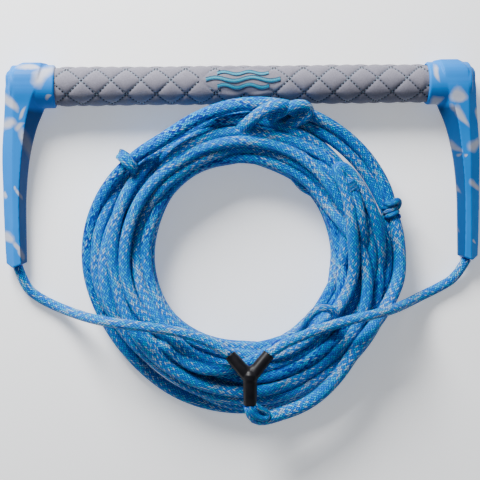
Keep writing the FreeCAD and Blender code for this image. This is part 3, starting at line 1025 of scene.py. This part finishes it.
def make_stitches():
    """The quilting's stitches, and dark marks painted as the shade in the holes that they pull into the
    cover.
    """
    slope = math.atan2(math.radians(QUILT_TURN) * GRIP_R, QUILT_LENGTH)
    places = stitch_places(slope)
    step_x = math.cos(slope) * STITCH_PITCH / 2
    step_turn = math.degrees(math.sin(slope) * STITCH_PITCH / 2 / GRIP_R)
    holes = [(x + step_x, turn + math.copysign(step_turn, heading), heading) for x, turn, heading in places]
    thread = thread_material("quilt_thread", (0.12, 0.20, 0.28), (0.30, 0.42, 0.50))
    # near-black threads laid at the needle holes as painted shade
    shadow = thread_material("needle_hole_painted_shade", (0.002, 0.004, 0.012), (0.008, 0.012, 0.03))
    threads_on_cover("quilt_stitches", places, STITCH, thread)
    threads_on_cover("quilt_hole_painted_shade", holes, NEEDLE_HOLE_SHADE, shadow)


def make_emblem():
    """Embroidered waves: satin stitches side by side across each band, with a darker cord round them."""
    satin, edging = [], []
    for offset, half_length, height, width in EMBLEM_BANDS:
        count = int(2 * half_length / SATIN_PITCH)
        for i in range(count + 1):
            share = i / count
            x = half_length * (2 * share - 1)
            phase = 2 * WAVES * math.pi * share
            wave = height * math.sin(phase)
            heading = math.atan(height * WAVES * math.pi / half_length * math.cos(phase))
            for places, shift, across in ((satin, 0.0, math.pi / 2), (edging, width / 2, 0),
                                          (edging, -width / 2, 0)):
                turn = EMBLEM_MIDDLE[1] + math.degrees(math.asin((offset + wave + shift) / GRIP_R))
                places.append((x, turn, heading + across))
    bright = thread_material("emblem_satin_thread", (0.0, 0.14, 0.28), (0.02, 0.40, 0.52))
    deep = thread_material("emblem_edging_thread", (0.0, 0.03, 0.09), (0.0, 0.09, 0.20))
    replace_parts(threads_on_cover("emblem_satin", satin, SATIN, bright), "grip_emblem")
    threads_on_cover("emblem_edging", edging, EDGING, deep)


# --- knots, eye and yoke ---

def wraps(centre, heading, half_width, half_height, pitch, turns):
    """Control points of rope wound round a level axis that points heading degrees from +X."""
    angle = math.radians(heading)
    ahead = Vector((math.cos(angle), math.sin(angle), 0))
    across = Vector((-math.sin(angle), math.cos(angle), 0))
    per_turn = 10
    points = []
    for i in range(int(turns * per_turn) + 1):
        turn = 2 * math.pi * i / per_turn
        sideways = across * half_width * math.cos(turn)
        rise = Vector((0, 0, half_height * math.sin(turn)))
        points.append(tuple(Vector(centre) + ahead * pitch * (i / per_turn - turns / 2) + sideways + rise))
    return points


def knot_shapes():
    """For each knot's piece: its control points, width and thickness, and the CAD node it stands for."""
    right_wraps = wraps(RIGHT_KNOT, RIGHT_KNOT_HEADING, half_width=0.0049, half_height=0.0057,
                        pitch=0.0037, turns=3.1)
    whipping = wraps(SECTION_WHIPPING, SECTION_HEADING, half_width=0.0045, half_height=0.0041,
                     pitch=0.0019, turns=4.2)
    section_loop, section_tail, inner_loop = (
        [at_angle(*row) for row in table] for table in (SECTION_LOOP, SECTION_TAIL, INNER_LOOP))
    return {
        "top_knot_bight": (TOP_BIGHT, 0.0098, 0.0075, "loop_knot_top"),
        "top_knot_loop": (TOP_LOOP, 0.0092, 0.0075, None),
        "left_knot_fold": (LEFT_FOLD, 0.0090, 0.0032, "loop_knot_left"),
        "right_knot_wraps": (right_wraps, 0.0045, 0.0040, "loop_knot_right"),
        "right_knot_vee": (RIGHT_VEE, 0.0050, 0.0040, None),
        "yoke_hitch_bight": (HITCH_BIGHT, 0.0044, 0.0036, "yoke_hitch"),
        "section_loop": (section_loop, 0.0092, 0.0080, None),
        "section_tail": (section_tail, 0.0086, 0.0076, None),
        "section_whipping": (whipping, 0.0021, 0.0016, None),
        "inner_loop": (inner_loop, 0.0090, 0.0080, None),
        "tow_eye_loop": (TOW_EYE, 0.0062, 0.0062, "tow_eye"),
    }


def make_knots(material):
    """Where the line's sections are looped together, the hitch below the yoke, and the tow eye."""
    pieces = []
    for name, (points, width, thickness, node) in knot_shapes().items():
        route = along_route(name, points, KNOT_STEP)
        piece = rope_piece(name, *route, (width, thickness), ROPE_SIDES, material, "line_rope")
        if node:
            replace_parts(piece, node)
        pieces.append(piece)
    return pieces


def rod(name, start, end, radius_start, radius_end):
    """A round bar between two points."""
    axis = Vector(end) - Vector(start)
    middle = (axis.length * 0.5, (radius_start + radius_end) / 2)
    return lathe(name, [(0, radius_start), middle, (axis.length, radius_end)], 40, start, axis)


def make_yoke():
    """Moulded rubber Y with a fillet between its legs, square mouths and the ropes' holes."""
    centre = Vector(YOKE_CENTRE)
    ends = [Vector(LEG_LEFT[-1]), Vector(LEG_RIGHT[-1]), Vector(LEAD[0])]
    stem = rod("yoke_look", centre, ends[2], YOKE_STEM_R * YOKE_THICKENING, YOKE_STEM_R)
    parts = [rod("yoke_branch", centre, end, YOKE_BRANCH_R * YOKE_THICKENING, YOKE_BRANCH_R)
             for end in ends[:2]]
    parts += [rod("yoke_web", centre + Vector((0, 0.0035, 0)), centre.lerp(end, 0.55), 0.0046, 0.0040)
              for end in ends[:2]]
    parts.append(lathe("yoke_hub", YOKE_HUB, 40, centre + Vector((0, 0.0008, 0.0003)), (0, 1, 0)))
    body = fused(stem, parts, YOKE_VOXEL, 6)
    for end, radius in zip(ends, (0.0039, 0.0039, 0.0043)):
        inward = (centre - end).normalized()
        cut(body, rod("yoke_hole", end - inward * 0.002, end + inward * 0.006, radius, radius))
    dress(body, rubber_material())
    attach(body, "arms_and_ropes")
    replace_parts(body, "yoke")
    return body


# --- free ropes ---

def line_swell(path, along):
    """How much thicker than plain rope the line is: doubled by its splices, and squeezed in a knot."""
    thick = np.zeros(len(path))
    for start, end in DOUBLED_PARTS:
        rise = np.clip((along - start) / DOUBLING_TAPER, 0, 1)
        thick = np.maximum(thick, rise * np.clip((end - along) / DOUBLING_TAPER, 0, 1))
    gap = np.linalg.norm(path - np.array(RIGHT_KNOT), axis=1)
    return 1 + DOUBLING * thick - KNOT_SQUEEZE * np.exp(-(gap / KNOT_SQUEEZE_REACH) ** 2)


def make_legs():
    """The bridle's two legs, from the arms into the yoke, with the path and length of each."""
    material = rope_material("bridle_braid", 18.0, 0.0026, 0.32)
    made = []
    for name, points in (("bridle_leg_left", LEG_LEFT), ("bridle_leg_right", LEG_RIGHT)):
        path, along = along_route(name, points, BRIDLE_STEP)
        leg = rope_piece(name + "_look", path, along, BRIDLE_SIZE, ROPE_SIDES, material, "bridle_rope")
        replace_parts(leg, name)
        made.append((leg, path, along[-1]))
    return made


def make_ropes():
    """Every free cord: the bridle's legs with the yoke, and the tow line with its knots and eye."""
    (left, left_path, left_length), (right, right_path, right_length) = make_legs()
    yoke = make_yoke()

    material = rope_material("line_braid", 22.0, 0.0027, 0.25)
    path, along = along_route("tow_line", LEAD + coil_points(), LINE_STEP)
    swell = line_swell(path, along)
    line = rope_piece("tow_line", path, along, LINE_SIZE, LINE_SIDES, material, "line_rope", swell)
    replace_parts(line, "line_lead", "line_coil")
    knots = make_knots(material)


def finish_nodes():
    """Materials of the CAD pieces that stay as they are."""
    finishes = {
        "bar_tube": metal_material(),
        "grip_foam": foam_material(),
        "bridle_core": core_material(),
        "yoke_splice": core_material(),
        "tube_bush_left": nylon_material(),
        "tube_bush_right": nylon_material(),
        "grip_seam": suede_material(),
    }
    for node, material in finishes.items():
        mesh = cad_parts[node].data
        mesh.materials.clear()
        mesh.materials.append(material)


def plain(value):
    """The same numbers in plain lists."""
    if hasattr(value, "__len__"):
        return [plain(part) for part in value]
    return float(value)


def write_sizes():
    """The CAD part's box and the visual model's, side by side."""
    {"cad": plain(cad_bounds), "visual": plain(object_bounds())}


def main():
    make_camera()
    make_ropes()
    make_lights()
    make_floor()
    make_arms()
    make_cover()
    make_stitches()
    make_emblem()
    finish_nodes()


main()
write_sizes()
